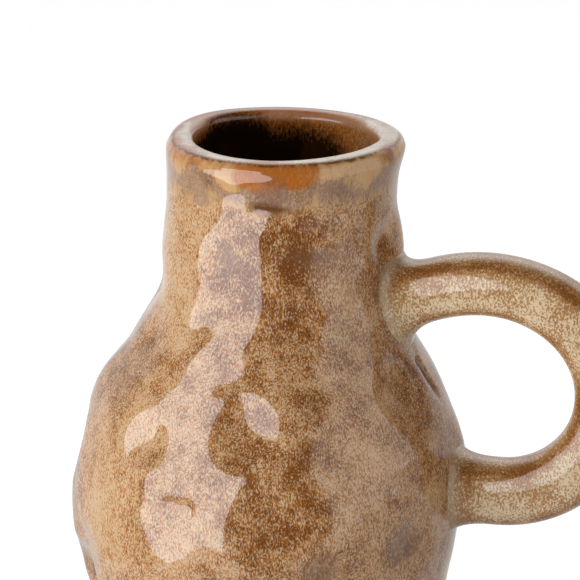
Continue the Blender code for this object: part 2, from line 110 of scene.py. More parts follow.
PRESSES = (
    Press(RIM, -95, 0.50, 9 * MM, 0.3 * MM, 0.0),
    Press(RIM, -84, 0.10, 10 * MM, 0.0, 0.9),
    Press(RIM, -47, 0.05, 11 * MM, 0.4 * MM, 0.7),
    Press(RIM, -118, 0.30, 6 * MM, 0.0, 0.7),
    Press(RIM, 2, 0.00, 14 * MM, 0.8 * MM, 0.4),
    Press(RIM, 6, 0.65, 14 * MM, -0.6 * MM, 0.0),
    Press(RIM, 150, 0.60, 24 * MM, -1.2 * MM, 0.0),
    Press(UPPER_NECK, -78, 0.55, 16 * MM, 1.3 * MM, 0.0),
    Press(UPPER_NECK, -106, 0.50, 15 * MM, 0.4 * MM, 0.0),
    Press(UPPER_NECK, -92, 0.87, 11 * MM, 0.9 * MM, 0.0),
    Press(UPPER_NECK, -112, 0.87, 11 * MM, 0.8 * MM, 0.0),
    # Small presses with a stain about 1: a dark line of painted crease shade under the rim
    Press(UPPER_NECK, -92, 0.84, 3 * MM, 0.2 * MM, 1.0),
    Press(UPPER_NECK, -88, 0.84, 3 * MM, 0.2 * MM, 1.1),
    Press(UPPER_NECK, -84, 0.83, 3 * MM, 0.2 * MM, 1.1),
    Press(UPPER_NECK, -80, 0.82, 3 * MM, 0.2 * MM, 1.1),
    Press(UPPER_NECK, -75, 0.81, 3 * MM, 0.2 * MM, 0.95),
    Press(UPPER_NECK, -70, 0.80, 3 * MM, 0.2 * MM, 0.8),
    Press(UPPER_NECK, -52, 0.60, 14 * MM, 0.8 * MM, 0.0),
    Press(UPPER_NECK, -62, 0.18, 12 * MM, 1.6 * MM, 0.0),
    Press(UPPER_NECK, -45, 0.10, 11 * MM, 1.0 * MM, 0.0),
    Press(UPPER_NECK, -74, 0.13, 7 * MM, 0.1 * MM, 0.35),
    Press(UPPER_NECK, -65, 0.11, 8 * MM, 0.2 * MM, 0.45),
    Press(UPPER_NECK, -55, 0.12, 8 * MM, 0.2 * MM, 0.55),
    Press(UPPER_NECK, -46, 0.15, 7 * MM, 0.1 * MM, 0.5),
    Press(UPPER_NECK, -104, 0.08, 12 * MM, 1.0 * MM, 0.6),
    Press(UPPER_NECK, -104, 0.06, 5 * MM, 0.5 * MM, 0.3),
    Press(UPPER_NECK, -126, 0.60, 14 * MM, 1.2 * MM, 0.2),
    Press(UPPER_NECK, -123, 0.78, 5 * MM, 0.7 * MM, 0.0),
    Press(UPPER_NECK, -14, 0.02, 12 * MM, 2.0 * MM, 0.0),
    Press(UPPER_NECK, -8, 0.02, 8 * MM, -0.7 * MM, 0.0),
    Press(LOWER_NECK, -113, 0.43, 7 * MM, 0.4 * MM, 0.6),
    Press(LOWER_NECK, -107, 0.22, 8.5 * MM, -0.7 * MM, 0.0),
    Press(LOWER_NECK, -66, 0.42, 14 * MM, 1.4 * MM, 0.0),
    Press(LOWER_NECK, -44, 0.37, 10 * MM, 0.8 * MM, 0.5),
    Press(LOWER_NECK, -142, 0.15, 14 * MM, 1.8 * MM, 0.2),
    Press(LOWER_NECK, -167, 0.50, 18 * MM, 1.5 * MM, 0.0),
    Press(LOWER_NECK, 8, 0.88, 18 * MM, -2.6 * MM, 0.0),
    Press(SHOULDER, -86, 0.58, 15 * MM, 4.0 * MM, 0.1),
    Press(SHOULDER, -121, 0.37, 10 * MM, 1.9 * MM, 0.0),
    Press(SHOULDER, -110, 0.46, 22 * MM, 2.6 * MM, 0.0),
    Press(SHOULDER, -114, 0.06, 8.5 * MM, -1.1 * MM, 0.0),
    Press(SHOULDER, -167, 0.66, 14 * MM, -1.4 * MM, 0.0),
    Press(SHOULDER, -24, 0.75, 15 * MM, 2.2 * MM, 0.3),
    Press(SHOULDER, 10, 0.60, 20 * MM, 0.9 * MM, 0.0),
    # Small presses with a stain above 1: a narrow crease on the shoulder, its shade painted dark
    Press(SHOULDER, -3, 0.87, 3.5 * MM, 1.8 * MM, 1.6),
    Press(SHOULDER, -2.5, 0.78, 3.5 * MM, 1.8 * MM, 1.6),
    Press(SHOULDER, -2, 0.69, 3.5 * MM, 1.6 * MM, 1.6),
    Press(SHOULDER, -1.5, 0.60, 3.5 * MM, 1.4 * MM, 1.4),
    Press(SHOULDER, -1, 0.51, 3.5 * MM, 1.0 * MM, 1.0),
    Press(SHOULDER, -52, 0.30, 15 * MM, 1.6 * MM, 0.2),
    Press(BELLY, -74, 0.80, 18 * MM, 2.4 * MM, 0.1),
    Press(BELLY, -104, 0.86, 11 * MM, 0.6 * MM, 0.0),
    Press(BELLY, -106.5, 0.87, 5 * MM, 2.2 * MM, 0.4),
    Press(BELLY, -101.5, 0.87, 5 * MM, 2.2 * MM, 0.4),
    Press(BELLY, -106.5, 0.87, 3.6 * MM, -0.8 * MM, 0.0),
    Press(BELLY, -101.5, 0.87, 3.6 * MM, -0.8 * MM, 0.0),
    Press(BELLY, -31, 0.48, 14 * MM, 2.6 * MM, 0.9),
    Press(BELLY, -88, 0.25, 13 * MM, 1.4 * MM, 0.3),
    Press(BELLY, -146, 0.28, 15 * MM, 1.8 * MM, 0.2),
    Press(BELLY, -60, 0.40, 14 * MM, 1.8 * MM, 0.9),
    Press(BELLY, -168, 0.95, 15 * MM, 4.2 * MM, 0.2),
    Press(BELLY, -154, 0.00, 16 * MM, 5.4 * MM, 0.2),
    Press(BELLY, 8, 0.90, 17 * MM, -1.8 * MM, 0.0),
)
ROWS = (
    Row(UPPER_NECK, 0.40, 0.10, 4, 12 * MM, 1.6 * MM, 0.6, BACK_START, BACK_END),
    Row(LOWER_NECK, 0.45, 0.12, 4, 13 * MM, 1.6 * MM, 0.3, BACK_START, BACK_END),
    Row(SHOULDER, 0.50, 0.15, 5, 14 * MM, 2.0 * MM, 0.2, BACK_START, BACK_END),
    Row(BELLY, 0.70, 0.12, 5, 15 * MM, 2.2 * MM, 0.6, BACK_START, BACK_END),
    Row(BELLY, 0.25, 0.08, 4, 13 * MM, 1.6 * MM, 0.3, BACK_START + 20, BACK_END - 10),
    Row(FOOT, 0.50, 0.12, 10, 14 * MM, 1.8 * MM, 0.5, 0.0, 360.0),
)

# Clouds in the glaze: angle and height of the middle, radius, and browner above zero or milkier below
Cloud = namedtuple("Cloud", "angle height radius tone")
CLOUDS = (
    Cloud(-78, 186 * MM, 13 * MM, 0.7),
    Cloud(-95, 189 * MM, 10 * MM, 0.6),
    Cloud(-42, 184 * MM, 15 * MM, -0.6),
    Cloud(95, 191 * MM, 45 * MM, 0.9),
    Cloud(155, 182 * MM, 30 * MM, 1.0),
    Cloud(25, 168 * MM, 34 * MM, -0.6),
    Cloud(-76, 166 * MM, 17 * MM, 0.5),
    Cloud(-70, 156 * MM, 6 * MM, 0.5),
    Cloud(-60, 156 * MM, 6 * MM, 0.5),
    Cloud(-103, 152 * MM, 15 * MM, 0.7),
    Cloud(-130, 142 * MM, 16 * MM, -0.4),
    Cloud(-71, 142 * MM, 17 * MM, 0.5),
    Cloud(-14, 148 * MM, 15 * MM, 0.5),
    Cloud(-90, 111 * MM, 16 * MM, 0.4),
    Cloud(-74, 84 * MM, 22 * MM, 0.6),
    Cloud(-67, 106 * MM, 15 * MM, 0.5),
    Cloud(-14, 123 * MM, 16 * MM, 0.4),
    Cloud(-15, 100 * MM, 20 * MM, 0.5),
    Cloud(-102, 73 * MM, 13 * MM, -0.2),
    Cloud(-130, 76 * MM, 16 * MM, -0.5),
    Cloud(-135, 60 * MM, 22 * MM, -0.7),
    Cloud(-120, 131 * MM, 7 * MM, -0.6),
    Cloud(-122, 176 * MM, 5 * MM, -0.7),
    Cloud(-46, 88 * MM, 18 * MM, -0.2),
    Cloud(-135, 92 * MM, 26 * MM, -0.45),
    Cloud(-142, 158 * MM, 26 * MM, -0.75),
)

# Handle path
UPPER_ROOT_HEIGHT = 14.5 * MM
UPPER_ARM_RISE = 8.4 * MM
UPPER_ARM_SPRING = 0.55
LOWER_ROOT_HEIGHT = 31.3 * MM

# Share of the way to a corner of the handle's section from which the glaze turns brown
EDGE_START = 0.55

# Share of the round between wall and floor inside at which its middle point stands
FLOOR_CORNER = 0.3

# Fineness of the meshes
WALL_SEGMENTS = 240
OUTER_SPACING = 1.4 * MM
INNER_SPACING = 4.0 * MM
CORNER_STEPS = 8
HANDLE_STEPS = 150
HANDLE_SIDES = 64
FOOT_SEGMENTS = 128
MERGE_DISTANCE = 0.005 * MM

# Patterns in the glaze and in the bare clay
BEND_WIDTH = 8.0 * MM
BEND_SWAY = 2.5 * MM
FLOW_SQUASH = 0.5
STREAK_WIDTH = 1.8 * MM
CLOUD_WIDTH = 7.0 * MM
PATCH_WIDTH = 30.0 * MM
RUN_WIDTH = 2.5 * MM
RUN_SQUASH = 0.15
SMEAR_WIDTH = 14.0 * MM
DOT_SIZE = 1.8  # in flecks
SPECK_SIZE = 1.25  # in flecks
SPECK_SQUASH = 0.7
HANDLE_PATCH_WIDTH = 12.0 * MM
GRIT_WIDTH = 0.8 * MM
CLAY_PATCH_WIDTH = 22.0 * MM

# Zones down the outside from the middle of the lip's round: each starts, is full, begins to fade and ends
DRIP_ZONE = (3.5 * MM, 7.5 * MM, 10.0 * MM, 14.5 * MM)
TEETH_ZONE = (8.5 * MM, 12.5 * MM, 12.5 * MM, 17.5 * MM)
CLEAR_FULL = 4.0 * MM
CLEAR_END = 7.5 * MM

# Zones inwards over the lip, from the same place
LIP_BLUR = 0.6 * MM
LIP_LINE_PLACE = 0.1 * MM
LIP_LINE_WIDTH = 1.0 * MM
LIP_TOP_ZONE = (-0.2 * MM, 1.4 * MM, 8.0 * MM, 10.0 * MM)
RUST_REACH = 5.0 * MM
INNER_START = 6.5 * MM
INNER_FULL = 8.0 * MM
# Painted shade deep inside the jug: where it starts and where it is full
INSIDE_SHADE_START = 19.0 * MM
INSIDE_SHADE_FULL = 29.0 * MM

# Gloss of the glaze
GLAZE_IOR = 1.5
GLAZE_ROUGHNESS = 0.06
GLAZE_ROUGHNESS_CHANGE = 0.04
GLAZE_BUMP = 0.12
GLAZE_BUMP_DEPTH = 0.05 * MM
HANDLE_SHINE = 0.38

# Roughness of the bare clay
CLAY_ROUGHNESS = 0.855
CLAY_ROUGHNESS_CHANGE = 0.15
CLAY_BUMP = 0.5
CLAY_BUMP_DEPTH = 0.2 * MM
CLAY_SHADE = 0.55

# The photograph's viewpoint, with angles in degrees
PHOTO_TURN = 13.0  # from looking along +Y
CAMERA_RIGHT = 6.0 * MM
CAMERA_BACK = 1040.0 * MM
CAMERA_HEIGHT = 470.0 * MM
CAMERA_YAW = 0.1065
CAMERA_PITCH = 17.7217
CAMERA_LENS = 207.62
CAMERA_SENSOR = 36.0

# Light panels: azimuth in degrees to the right of the camera, sizes in metres, soft edge as a share
LightPanel = namedtuple("LightPanel", "name shape azimuth distance width bottom top softness colour")
LEFT_PANEL = LightPanel("left_panel", "ELLIPSE", -46, 0.7, 0.90, -0.28, 0.61, 0.0, (0.95, 1.0, 1.1))
RIGHT_PANEL = LightPanel("right_panel", "RECTANGLE", 68, 0.8, 1.3, -0.30, 0.90, 0.16, (1.0, 1.0, 1.0))
PANEL_POWER = 4.0  # watts from a square metre at a brightness of 1

# Room: where its white side begins and is full, straight behind being 1, and its high part, up being 1
BEHIND_START = 0.25
BEHIND_FULL = 0.8
HIGH_START = 0.15
HIGH_FULL = 0.5

# Floor: its edges in metres to the right of the jug and behind it, its shade and its glow
FLOOR_LEFT = -0.15
FLOOR_RIGHT = 1.2
FLOOR_FRONT = -0.25
FLOOR_BACK = 1.6
FLOOR_SHADE = 0.4
FLOOR_GLOW = 0.8
FLOOR_MIRRORED = 0.5  # share of the glow that shows in reflections


def length_property(name, description, default):
    """Length setting of a piece or of a pattern."""
    return FloatProperty(name=name, description=description, default=default, unit="LENGTH")


def colour_property(name, description, default):
    """Colour setting of a finish."""
    return FloatVectorProperty(
        name=name, description=description, default=default, subtype="COLOR", min=0, max=1
    )


class JugSizes(PropertyGroup):
    """Sizes of the wall, the handle and the foot."""

    wall: length_property("Wall", "Thickness of the wall", 7.5 * MM)
    lean: length_property("Lean", "How far the mouth leans towards the handle", 6.8 * MM)
    lip_outer_round: length_property("Lip outer round", "Round on the outside of the lip", 3.8 * MM)
    lip_inner_round: length_property("Lip inner round", "Round on the inside of the lip", 3.0 * MM)
    lip_swell: length_property("Lip swell", "How much thicker than the wall the lip is", 1.1 * MM)
    lip_wave: length_property("Lip wave", "How far the hand-made lip rises and dips", 0.5 * MM)
    lip_wave_count: IntProperty(name="Lip waves", description="Rises round the lip", default=2)
    lip_wave_start: FloatProperty(
        name="Lip wave start",
        description="Angle at which the first rise starts",
        default=2.1,
        subtype="ANGLE",
    )
    foot_round: length_property("Foot round", "Round on the edge of the foot", 3.0 * MM)
    unevenness: length_property(
        "Unevenness",
        "Depth of the small hollows that hands leave in the clay",
        0.22 * MM,
    )
    uneven_width: length_property("Unevenness width", "Width of those small hollows", 13.0 * MM)
    handle_reach: length_property(
        "Handle reach",
        "From the jug's axis to the outermost point of the handle's centre line",
        113.5 * MM,
    )
    loop_stretch: FloatProperty(
        name="Loop stretch",
        description="1 is a round upper half of the loop, more starts to bend nearer the jug",
        default=1.15,
    )
    handle_width: length_property("Handle width", "Width of the strap", 18.5 * MM)
    upper_thickness: length_property("Upper arm", "Thickness of the upper arm", 19.8 * MM)
    bend_thickness: length_property("Bend", "Thickness at the bend", 22.0 * MM)
    lower_thickness: length_property("Lower arm", "Thickness of the lower arm", 21.8 * MM)
    squareness: FloatProperty(
        name="Squareness",
        description="2 is an oval section, more is squarer",
        default=2.6,
    )
    luting_reach: length_property(
        "Luting reach",
        "How far the worked clay runs out along the handle",
        11.0 * MM,
    )
    upper_spread: length_property(
        "Upper luting",
        "Thickness of the worked clay against the wall at the upper end",
        4.4 * MM,
    )
    lower_spread: length_property(
        "Lower luting",
        "Thickness of the worked clay against the wall at the lower end",
        3.4 * MM,
    )
    root_blend: length_property(
        "Root blend",
        "How far out along the handle its section follows the slope of the wall",
        24.0 * MM,
    )


class GlazeColours(PropertyGroup):
    """Colours of the glaze and of the bare clay, and the size of a fleck."""

    brown: colour_property("Brown", "Darkest ground of the glaze", (0.15, 0.042, 0.004))
    amber: colour_property("Amber", "Clear glaze over the clay", (0.35, 0.125, 0.017))
    cream: colour_property("Cream", "Milky worms in the glaze", (0.56, 0.40, 0.235))
    ivory: colour_property("Ivory", "Milky glaze of the handle", (0.60, 0.455, 0.275))
    pool: colour_property("Pool", "Glaze gathered in the hollows", (0.17, 0.078, 0.038))
    drip: colour_property("Drip", "Milky glaze that ran off the lip", (0.27, 0.16, 0.10))
    streak: colour_property("Streak", "Pale streaks below the lip", (0.51, 0.29, 0.12))
    # Pale glaze on top of the lip, partly a painted sheen of the white room it reflects
    lip_top_and_sheen: colour_property("Lip top", "Thick glaze on top of the lip", (0.70, 0.57, 0.43))
    lip_amber: colour_property("Lip amber", "Clear glaze run thin at the lip", (0.37, 0.105, 0.011))
    # Thin glaze on the lip's edge, and also the painted shade of creases
    edge_line_and_crease_shade: colour_property("Lip line", "Thin glaze on the lip's edge and in creases", (0.10, 0.034, 0.008))
    speck: colour_property("Speck", "Specks in the glaze of the handle", (0.29, 0.11, 0.018))
    # Dark inside glaze, painted nearly black as the shade deep in the jug
    inside: colour_property("Inside", "Dark glaze inside the jug", (0.010, 0.004, 0.001))
    joint: colour_property("Joint", "Thick glaze in the corners at the handle's ends", (0.44, 0.35, 0.22))
    clay: colour_property("Bare clay", "Unglazed clay under the foot", (0.42, 0.27, 0.16))
    fleck: length_property("Fleck", "Size of a fleck in the glaze", 0.45 * MM)


class StudioSettings(PropertyGroup):
    """Lights of the studio."""

    left_light: FloatProperty(name="Left light", description="Brightness of the left panel", default=2.8)
    right_light: FloatProperty(name="Right light", description="Brightness of the right panel", default=1.05)
    front_dim: FloatProperty(name="Front", description="Brightness of the room in front", default=0.08)
    back_white: FloatProperty(name="Back", description="Brightness of the room behind", default=0.96)
    high_white: FloatProperty(name="High", description="Brightness added high up behind", default=1.2)


class Wire:
    """A node's output. Arithmetic on wires adds Math nodes to the same tree."""

    def __init__(self, socket):
        self.socket = socket
        self.tree = socket.id_data

    def add(self, kind, settings=None, sockets=None, output=0):
        """Add a node, set it up, fill or link its sockets, and give back one output."""
        return Wire(make_node(self.tree, kind, settings or {}, sockets or {}).outputs[output])

    def maths(self, operation, first, second=0.0):
        """Math node on two values."""
        return self.add("ShaderNodeMath", {"operation": operation}, {0: first, 1: second})

    def __add__(self, other):
        return self.maths("ADD", self, other)

    def __radd__(self, other):
        return self.maths("ADD", other, self)

    def __sub__(self, other):
        return self.maths("SUBTRACT", self, other)

    def __rsub__(self, other):
        return self.maths("SUBTRACT", other, self)

    def __mul__(self, other):
        return self.maths("MULTIPLY", self, other)

    def __rmul__(self, other):
        return self.maths("MULTIPLY", other, self)

    def __truediv__(self, other):
        return self.maths("DIVIDE", self, other)

    def __abs__(self):
        return self.maths("ABSOLUTE", self)

    def larger(self, other):
        """The larger of this value and another."""
        return self.maths("MAXIMUM", self, other)

    def step(self, low, high):
        """Smooth step from 0 at low to 1 at high."""
        return self.add(
            "ShaderNodeMapRange",
            {"interpolation_type": "SMOOTHSTEP"},
            {"Value": self, "From Min": low, "From Max": high},
        )

    def between(self, start, full, fade, end):
        """Smooth hill: 0 up to the start, 1 from full to fade, and 0 from the end on."""
        return self.step(start, full) * self.step(end, fade)

    def blend(self, colour, over):
        """This mask lays one colour over another."""
        return self.add("ShaderNodeMix", {"data_type": "RGBA"}, {0: self, 6: over, 7: colour}, 2)

    def stretched(self, scale):
        """This vector scaled along each axis."""
        return self.add("ShaderNodeVectorMath", {"operation": "MULTIPLY"}, {0: self, 1: scale})

    def dot(self, other):
        """Dot product of this vector and another."""
        return self.add("ShaderNodeVectorMath", {"operation": "DOT_PRODUCT"}, {0: self, 1: other}, 1)

    def noise(self, size, detail, roughness=0.5):
        """Noise of about the given feature size on this vector, centred on zero."""
        sockets = {"Vector": self, "Scale": 1 / size, "Detail": detail, "Roughness": roughness}
        return self.add("ShaderNodeTexNoise", {}, sockets) - 0.5


def make_node(tree, kind, settings, sockets):
    """Node of a tree with its settings, then its values and links."""
    node = tree.nodes.new(kind)
    for name, value in settings.items():
        setattr(node, name, value)
    for key, value in sockets.items():
        if isinstance(value, Wire):
            tree.links.new(value.socket, node.inputs[key])
        elif isinstance(node.inputs[key].default_value, bpy.types.bpy_prop_array):
            node.inputs[key].default_value = fit_length(value, len(node.inputs[key].default_value))
        else:
            node.inputs[key].default_value = value
    return node


def fit_length(value, length):
    """Give a colour of three numbers its alpha where a socket needs four."""
    value = tuple(value)
    return value + (1.0,) * (length - len(value))


def new_material(name):
    """Empty material: its tree, its shader and its Object coordinates."""
    material = bpy.data.materials.new(name)
    material.use_nodes = True
    tree = material.node_tree
    tree.nodes.clear()
    shader = tree.nodes.new("ShaderNodeBsdfPrincipled")
    output = tree.nodes.new("ShaderNodeOutputMaterial")
    tree.links.new(shader.outputs[0], output.inputs["Surface"])
    place = Wire(tree.nodes.new("ShaderNodeTexCoord").outputs["Object"])
    return material, shader, place


def attribute(place, name):
    """Value of a mesh attribute in the tree of another wire."""
    return place.add("ShaderNodeAttribute", {"attribute_name": name}, {}, "Fac")


def finish_shader(shader, colour, roughness, normal):
    """Link what changes over a surface."""
    links = shader.id_data.links
    links.new(colour.socket, shader.inputs["Base Color"])
    links.new(roughness.socket, shader.inputs["Roughness"])
    links.new(normal.socket, shader.inputs["Normal"])


def glossy_coat(shader, colour, pattern):
    """Give a glazed surface its colour, and a gloss that changes a little with a pattern."""
    roughness = GLAZE_ROUGHNESS + pattern * GLAZE_ROUGHNESS_CHANGE
    bump = pattern.add(
        "ShaderNodeBump",
        {},
        {"Strength": GLAZE_BUMP, "Distance": GLAZE_BUMP_DEPTH, "Height": pattern},
    )
    finish_shader(shader, colour, roughness, bump)
    shader.inputs["IOR"].default_value = GLAZE_IOR


def flowing(place):
    """Coordinates bent a little and drawn out downwards, so that flecks run like melted glaze."""
    sockets = {"Vector": place, "Scale": 1 / BEND_WIDTH, "Detail": 1.0}
    bend = place.add("ShaderNodeTexNoise", {}, sockets, "Color")
    sway = (BEND_SWAY, BEND_SWAY, BEND_SWAY)
    bent = place.add("ShaderNodeVectorMath", {"operation": "MULTIPLY_ADD"}, {0: bend, 1: sway, 2: place})
    return bent.stretched((1.0, 1.0, FLOW_SQUASH))


# In the sums below each pattern has its weight, and the last number shifts the balance
# A factor on a mask thins the colour that it lays on


def lip_glaze(place, colours, from_lip, tone, worms, wall):
    """Lay the run glaze of the lip over the wall's glaze: amber below its edge, then a mauve drip, and a pale
    top that is partly painted sheen.
    """
    run = place.stretched((1.0, 1.0, RUN_SQUASH)).noise(RUN_WIDTH, 3.0, 0.6)
    smear = place.noise(SMEAR_WIDTH, 3.0, 0.6)
    below = from_lip * -1.0
    ragged = below + run * 9 * MM + smear * 18 * MM - abs(tone) * 5 * MM
    teeth = ragged.between(*TEETH_ZONE) * (run * 3.0 + 0.4).step(0.0, 1.0)
    wall = teeth.blend(colours.streak, wall)
    drip = ragged.between(*DRIP_ZONE) * (0.65 + run - worms * 0.8)
    wall = drip.blend(colours.drip, wall)
    band = ragged.step(CLEAR_END, CLEAR_FULL) * below.step(-LIP_BLUR, LIP_BLUR)
    clear = (tone * 1.3 + run * 2.5 + smear * 2.0 + 0.4).step(0.0, 1.0)
    wall = (band * 0.85).blend(clear.blend(colours.lip_amber, colours.streak), wall)
    wander = from_lip + smear * 3 * MM + run * 2 * MM
    # Top of the lip: pale glaze, partly a painted sheen of the white room, with amber in places
    top_start, top_full, top_fade, top_end = LIP_TOP_ZONE
    top = wander.step(top_start, top_full) * from_lip.step(top_end, top_fade)
    mottle = (run * 2.0 + worms * 1.5 + smear * 2.0 + 0.2).step(0.0, 1.0) * 0.6
    mottled = mottle.blend(colours.drip, colours.lip_top_and_sheen)
    rust = (tone * 1.2 + smear * 3.0 + run - from_lip / RUST_REACH + 0.5).step(0.0, 0.8)
    wall = (top * 0.95).blend((rust * 0.95).blend(colours.lip_amber, mottled), wall)
    edge = 1 - abs(wander - LIP_LINE_PLACE) / LIP_LINE_WIDTH
    line = edge.step(0.0, 0.9) * (smear * 3.0 + run * 2.0 + 0.5).step(0.0, 0.7)
    wall = (line * 0.9).blend(colours.edge_line_and_crease_shade, wall)
    browner = tone.larger(0.0)
    inner = (from_lip + browner * 6 * MM + smear * 6 * MM).step(INNER_START, INNER_FULL)
    fleck = (worms * 3.5 + run + smear * 2.0 - tone * 0.3 + 0.2).step(0.0, 1.0) * 0.8
    return (inner * 0.8).blend(fleck.blend(colours.streak, colours.lip_amber), wall)


def wall_glaze(colours):
    """Glaze of the wall: milky worms over amber and brown, pooled in the hollows, clear at the lip, with
    painted shade in the creases and deep inside.
    """
    material, shader, place = new_material("wall_glaze")
    flow = flowing(place)
    worms = flow.noise(colours.fleck, 1.0)
    dots = flow.noise(colours.fleck * DOT_SIZE, 1.0)
    streaks = flow.noise(STREAK_WIDTH, 2.0, 0.6)
    stain = attribute(place, "stain")
    tone = attribute(place, "tone")
    from_lip = attribute(place, "from_lip")
    patches = place.noise(PATCH_WIDTH, 2.0, 0.55)
    clouds = place.noise(CLOUD_WIDTH, 1.5, 0.5)
    dark = dots * 1.8 + streaks * 0.6 + clouds * 1.3 + patches * 0.8 + tone * 0.6 + 0.45
    ground = dark.step(0.0, 1.0).blend(colours.brown, colours.amber)
    milk = worms * 3.0 - streaks * 0.6 - clouds * 0.8 - patches * 0.6 - tone * 0.4 + 0.42
    speckled = (milk.step(0.0, 1.0) * 0.8).blend(colours.cream, ground)
    lipped = lip_glaze(place, colours, from_lip, tone, worms, speckled)
    pool = (stain + clouds * 0.6 + dots * 1.2).step(0.15, 1.05) * 0.8
    pooled = pool.blend(colours.pool, lipped)
    # Painted shade: from a stain of about 1 up the crease is painted dark, over the gathered glaze
    crease_shade = (stain + dots - worms).step(1.0, 1.6) * 0.85
    crease_shaded = crease_shade.blend(colours.edge_line_and_crease_shade, pooled)
    # Painted shade: deep inside the jug the dark glaze turns nearly black, sooner where the glaze is browner
    depth = from_lip + dots * 9 * MM + patches * 6 * MM + tone * 15 * MM
    inside_shaded = depth.step(INSIDE_SHADE_START, INSIDE_SHADE_FULL).blend(colours.inside, crease_shaded)
    glossy_coat(shader, inside_shaded, clouds)
    return material


def handle_glaze(colours):
    """Glaze of the handle: ivory with amber specks, browner on top, at its edges and at its ends."""
    material, shader, place = new_material("handle_glaze")
    specks = place.stretched((1.0, 1.0, SPECK_SQUASH)).noise(colours.fleck * SPECK_SIZE, 1.0)
    edge = attribute(place, "edge")
    upper = attribute(place, "upper")
    joint = attribute(place, "joint")
    patches = place.noise(HANDLE_PATCH_WIDTH, 2.0, 0.5)
    amber = specks * 3.8 + patches * 2.2 + edge * 0.8 + upper * 0.4 + joint * 0.3 + 0.52
    speckled = (amber.step(0.0, 1.0) * 0.85).blend(colours.speck, colours.ivory)
    brown = specks * 3.4 + patches * 3.2 + edge * 1.2 + upper * 0.6 + joint * 0.6 - 0.85
    broken = (brown.step(0.0, 1.0) * 0.8).blend(colours.brown, speckled)
    jointed = (joint.step(0.6, 1.0) * 0.4).blend(colours.joint, broken)
    glossy_coat(shader, jointed, patches)
    shader.inputs["Specular IOR Level"].default_value = HANDLE_SHINE
    return material


def bare_clay(colours):
    """Unglazed fired clay: matt and gritty."""
    material, shader, place = new_material("bare_clay")
    grit = place.noise(GRIT_WIDTH, 3.0, 0.65)
    stain = place.noise(CLAY_PATCH_WIDTH, 3.0, 0.55)
    dark = tuple(CLAY_SHADE * c for c in colours.clay)
    shade = (grit * 1.2 + stain * 0.8 + 0.6).step(0.1, 0.9)
    colour = shade.blend(colours.clay, dark)
    roughness = CLAY_ROUGHNESS + grit * CLAY_ROUGHNESS_CHANGE
    bump = place.add(
        "ShaderNodeBump",
        {},
        {"Strength": CLAY_BUMP, "Distance": CLAY_BUMP_DEPTH, "Height": grit},
    )
    finish_shader(shader, colour, roughness, bump)
    return material


def course_joints():
    """Height of each course's bottom joint, read from the frame, and the top of the rim."""
    joints = [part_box(node)[0].z - SLIP_GAP for node in WALL_NODES]
    joints.append(joints[-1] + RIM_HEIGHT)
    return joints


JOINTS = course_joints()
TOP = JOINTS[-1]
BELLY_LEVEL = (JOINTS[BELLY] + JOINTS[BELLY + 1]) / 2
SLAB_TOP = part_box("base_slab")[1].z


def outline_knots():
    """Points of the outer outline, as height and radius."""
    knots = [(0.0, BASE_RADIUS), (JOINTS[FOOT], BASE_TOP_RADIUS)]
    for course, (middle, top) in enumerate(COURSE_RADII):
        knots.append(((JOINTS[course] + JOINTS[course + 1]) / 2, middle))
        knots.append((JOINTS[course + 1], top))
    return knots


KNOTS = outline_knots()


def knot_slopes():
    """Slope of the outline at each knot."""
    last = len(KNOTS) - 1
    slopes = []
    for i in range(last + 1):
        below = KNOTS[max(i - 1, 0)]
        above = KNOTS[min(i + 1, last)]
        slopes.append((above[1] - below[1]) / (above[0] - below[0]))
    return slopes


SLOPES = knot_slopes()


def smooth_outline(height):
    """Outer radius of the plain turned form, on a smooth curve through the knots."""
    i = 0
    while i < len(KNOTS) - 2 and height > KNOTS[i + 1][0]:
        i += 1
    (z0, r0), (z1, r1) = KNOTS[i], KNOTS[i + 1]
    span = z1 - z0
    t = (height - z0) / span
    rise = t * t * (3 - 2 * t)
    start = t * (1 - t) ** 2 * SLOPES[i] * span
    end = t * t * (t - 1) * SLOPES[i + 1] * span
    return r0 * (1 - rise) + r1 * rise + start + end


def clamped(value, low=0.0, high=1.0):
    """A value kept between two limits."""
    return max(low, min(high, value))


def hill(away):
    """Height of a smooth hill: 1 in its middle, and 0 from a distance of 1 on."""
    return (1 - away * away) ** 2 if away < 1 else 0.0


def seam_crease(height):
    """Depth of the creases where the courses meet."""
    return sum(SEAM_DEPTH * hill(abs(height - joint) / SEAM_SPREAD) for joint in JOINTS[1:-1])


def outline(height):
    """Outer radius at a height, without thumb presses."""
    return smooth_outline(height) - seam_crease(height)


def all_presses():
    """The presses one by one and in rows, each with its angle, height and the wall's radius there."""
    presses = list(PRESSES)
    for row in ROWS:
        pitch = (row.end - row.start) / row.count
        for k in range(row.count):
            angle = row.start + (k + 0.5) * pitch
            place = row.place + (row.stagger if k % 2 else -row.stagger)
            presses.append(Press(row.course, angle, place, row.radius, row.depth, row.stain))
    placed = []
    for press in presses:
        bottom, top = JOINTS[press.course], JOINTS[press.course + 1]
        height = bottom + press.place * (top - bottom)
        angle = math.radians(press.angle)
        placed.append(PlacedPress(angle, height, smooth_outline(height), press))
    return placed


PLACED_PRESSES = all_presses()


@lru_cache(maxsize=None)
def presses_near(height):
    """Presses that reach a height."""
    return [placed for placed in PLACED_PRESSES if abs(height - placed.height) < placed.press.radius]


def pressed(angle, height):
    """How far the thumb presses push the wall in at one place, and how much glaze they gather."""
    here = smooth_outline(height)
    depth = 0.0
    stain = 0.0
    for placed in presses_near(round(height, 5)):
        turn = math.remainder(angle - placed.angle, 2 * math.pi)
        rise = math.hypot(height - placed.height, here - placed.wall_radius)
        share = hill(math.hypot(turn * placed.wall_radius, rise) / placed.press.radius)
        depth += placed.press.depth * share
        stain += placed.press.stain * share
    return depth, stain


